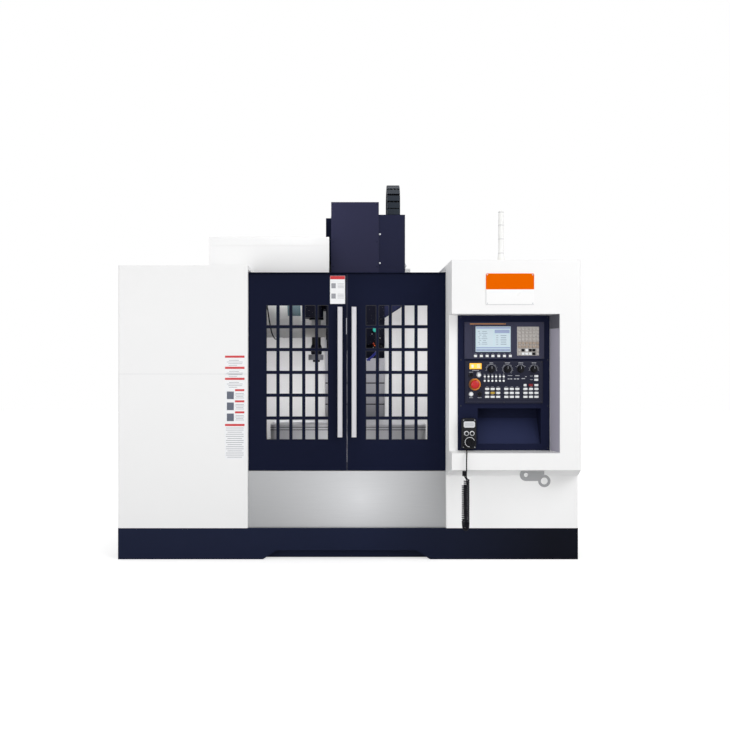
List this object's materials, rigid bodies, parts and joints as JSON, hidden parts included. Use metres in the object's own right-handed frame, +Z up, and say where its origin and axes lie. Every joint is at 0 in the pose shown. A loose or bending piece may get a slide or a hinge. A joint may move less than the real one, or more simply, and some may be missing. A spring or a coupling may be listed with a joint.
{
  "type": "vertical machining centre",
  "caption": "Enclosed vertical milling machine with sliding doors, moving table and head, arm tool changer and hooded operator panel.",
  "frame": {"origin": "on the floor under the middle of the machine's box, without the pendant's cord", "axes": "+Z up, -Y towards the operator, +X to the operator's right"},
  "size_m": [2.76, 2.3768, 2.456],
  "materials": {
    "navy_paint": "satin powder coat, fine orange peel",
    "navy_base": "satin powder coat",
    "white_paint": "satin powder coat, white",
    "stainless": "brushed along X",
    "liner_grey": "light grey paint",
    "cast_iron": "painted casting with ground faces",
    "ground_steel": "ground",
    "dark_paint": "dark grey paint",
    "cover_paint": "violet navy paint",
    "panel_dark": "moulded, dark grey",
    "screen_glass": "lit display",
    "pendant_plastic": "moulded, black",
    "black_plastic": "moulded, black",
    "red_plastic": "moulded, red",
    "cord_rubber": "matt sheath",
    "bellows_rubber": "folded rubberised cloth",
    "chain_plastic": "moulded links",
    "plate_orange": "orange and white fields, bare",
    "beacon_white": "white diffuser",
    "door_glass": "clear safety pane",
    "satin_metal": "satin anodised",
    "motor_paint": "dark paint",
    "nozzle_blue": "moulded, blue and orange"
  },
  "bodies": {
    "machine": {"base_skirt": "navy_base", "bed": "cast_iron", "levelling_feet": "ground_steel", "column": "navy_paint", "left_cabinet": "white_paint", "right_cabinet": "white_paint", "front_apron": "stainless", "splash_guard": "liner_grey", "magazine_housing": "white_paint", "door_tracks": "navy_paint", "operator_hood": "white_paint", "control_panel": "navy_paint", "display_unit": "panel_dark", "screen": "screen_glass", "operator_plate": "panel_dark", "pendant_body": "pendant_plastic", "cord_lead": "cord_rubber", "cord_coils": "cord_rubber", "cord_gland": "black_plastic", "name_plate": "plate_orange", "beacon_base": "beacon_white", "beacon_lamp": "beacon_white", "gun_bracket": "stainless", "magazine_cover": "liner_grey", "atc_box": "dark_paint", "electrical_cabinet": "white_paint", "coolant_tank": "white_paint", "z_cover_lower": "stainless", "front_bellows": "bellows_rubber", "cable_chain": "chain_plastic"},
    "left_door": {"left_door_frame": "navy_paint", "left_door_pane": "door_glass", "left_door_handle": "satin_metal"},
    "right_door": {"right_door_frame": "navy_paint", "right_door_pane": "door_glass", "right_door_handle": "satin_metal"},
    "saddle": {"saddle": "cast_iron"},
    "table": {"table": "cast_iron"},
    "head": {"head": "navy_paint", "head_cover": "cover_paint", "side_cover": "cover_paint", "spindle_motor": "motor_paint", "coolant_nozzles": "nozzle_blue", "z_cover_upper": "stainless"},
    "spindle": {"spindle": "ground_steel"},
    "z_cover_middle": {"z_cover_middle": "stainless"},
    "z_screw": {"z_screw": "ground_steel"},
    "y_screw": {"y_screw": "ground_steel"},
    "x_screw": {"x_screw": "ground_steel"},
    "magazine": {"magazine_disc": "cast_iron"},
    "atc_shaft": {"atc_shaft": "ground_steel"},
    "atc_arm": {"atc_arm": "ground_steel"},
    "cabinet_door": {"cabinet_door": "white_paint"},
    "main_switch": {"main_switch": "red_plastic"},
    "emergency_stop": {"emergency_stop": "red_plastic"},
    "handwheel": {"pendant_wheel": "black_plastic"},
    "mode_knob": {"mode_knob": "black_plastic"},
    "feed_knob": {"feed_knob": "black_plastic"},
    "rapid_knob": {"rapid_knob": "black_plastic"},
    "spindle_knob": {"spindle_knob": "black_plastic"}
  },
  "joints": [
    {"name": "left_door_slide", "type": "slide", "parent": "machine", "child": "left_door", "axis": [-1, 0, 0], "range_m": [0, 0.52]},
    {"name": "right_door_slide", "type": "slide", "parent": "machine", "child": "right_door", "axis": [1, 0, 0], "range_m": [0, 0.52]},
    {"name": "y_slide", "type": "slide", "parent": "machine", "child": "saddle", "axis": [0, 1, 0], "range_m": [-0.25, 0.24], "deforming": ["front_bellows"]},
    {"name": "x_slide", "type": "slide", "parent": "saddle", "child": "table", "axis": [1, 0, 0], "range_m": [-0.352, 0.448]},
    {"name": "z_slide", "type": "slide", "parent": "machine", "child": "head", "axis": [0, 0, 1], "range_m": [-0.3, 0.2], "deforming": ["cable_chain"]},
    {"name": "z_cover_slide", "type": "slide", "parent": "machine", "child": "z_cover_middle", "axis": [0, 0, 1], "range_m": [-0.15, 0.1]},
    {"name": "spindle_spin", "type": "hinge", "parent": "head", "child": "spindle", "pos_m": [0.048, -0.2, 1.24], "axis": [0, 0, 1], "continuous": true},
    {"name": "z_screw_spin", "type": "hinge", "parent": "machine", "child": "z_screw", "pos_m": [0.048, 0.365, 0.604], "axis": [0, 0, 1], "continuous": true},
    {"name": "y_screw_spin", "type": "hinge", "parent": "machine", "child": "y_screw", "pos_m": [0.048, 0, 0.398], "axis": [0, 1, 0], "continuous": true},
    {"name": "x_screw_spin", "type": "hinge", "parent": "saddle", "child": "x_screw", "pos_m": [0, -0.2, 0.575], "axis": [1, 0, 0], "continuous": true},
    {"name": "magazine_spin", "type": "hinge", "parent": "machine", "child": "magazine", "pos_m": [-0.434, -0.2, 1.64], "axis": [1, 0, 0], "continuous": true},
    {"name": "arm_drop", "type": "slide", "parent": "machine", "child": "atc_shaft", "axis": [0, 0, -1], "range_m": [0, 0.11]},
    {"name": "arm_swing", "type": "hinge", "parent": "atc_shaft", "child": "atc_arm", "pos_m": [-0.213, -0.2, 1.23], "axis": [0, 0, 1], "range_deg": [0, 270]},
    {"name": "cabinet_door_hinge", "type": "hinge", "parent": "machine", "child": "cabinet_door", "pos_m": [-0.428, 1.139, 0.5], "axis": [0, 0, 1], "range_deg": [0, 120]},
    {"name": "main_switch_turn", "type": "hinge", "parent": "cabinet_door", "child": "main_switch", "pos_m": [0.38, 1.15, 1.3072], "axis": [0, 1, 0], "range_deg": [0, 90]},
    {"name": "emergency_stop_press", "type": "slide", "parent": "machine", "child": "emergency_stop", "axis": [0, 1, 0], "range_m": [0, 0.008], "stiffness_N_per_m": 2500},
    {"name": "handwheel_spin", "type": "hinge", "parent": "machine", "child": "handwheel", "pos_m": [0.699, -1.0513, 0.726], "axis": [0, 1, 0], "continuous": true},
    {"name": "mode_knob_turn", "type": "hinge", "parent": "machine", "child": "mode_knob", "pos_m": [0.832, -1.014, 1.143], "axis": [0, 1, 0], "range_deg": [-105, 105]},
    {"name": "feed_knob_turn", "type": "hinge", "parent": "machine", "child": "feed_knob", "pos_m": [0.925, -1.014, 1.143], "axis": [0, 1, 0], "range_deg": [-135, 135]},
    {"name": "rapid_knob_turn", "type": "hinge", "parent": "machine", "child": "rapid_knob", "pos_m": [1.002, -1.014, 1.143], "axis": [0, 1, 0], "range_deg": [-60, 60]},
    {"name": "spindle_knob_turn", "type": "hinge", "parent": "machine", "child": "spindle_knob", "pos_m": [1.079, -1.014, 1.143], "axis": [0, 1, 0], "range_deg": [-105, 105]}
  ],
  "couplings": [
    {"joint": "z_cover_slide", "follows": "z_slide", "ratio": 0.5},
    {"joint": "z_screw_spin", "follows": "z_slide", "rad_per_m": 392.7},
    {"joint": "y_screw_spin", "follows": "y_slide", "rad_per_m": 392.7},
    {"joint": "x_screw_spin", "follows": "x_slide", "rad_per_m": 392.7}
  ]
}
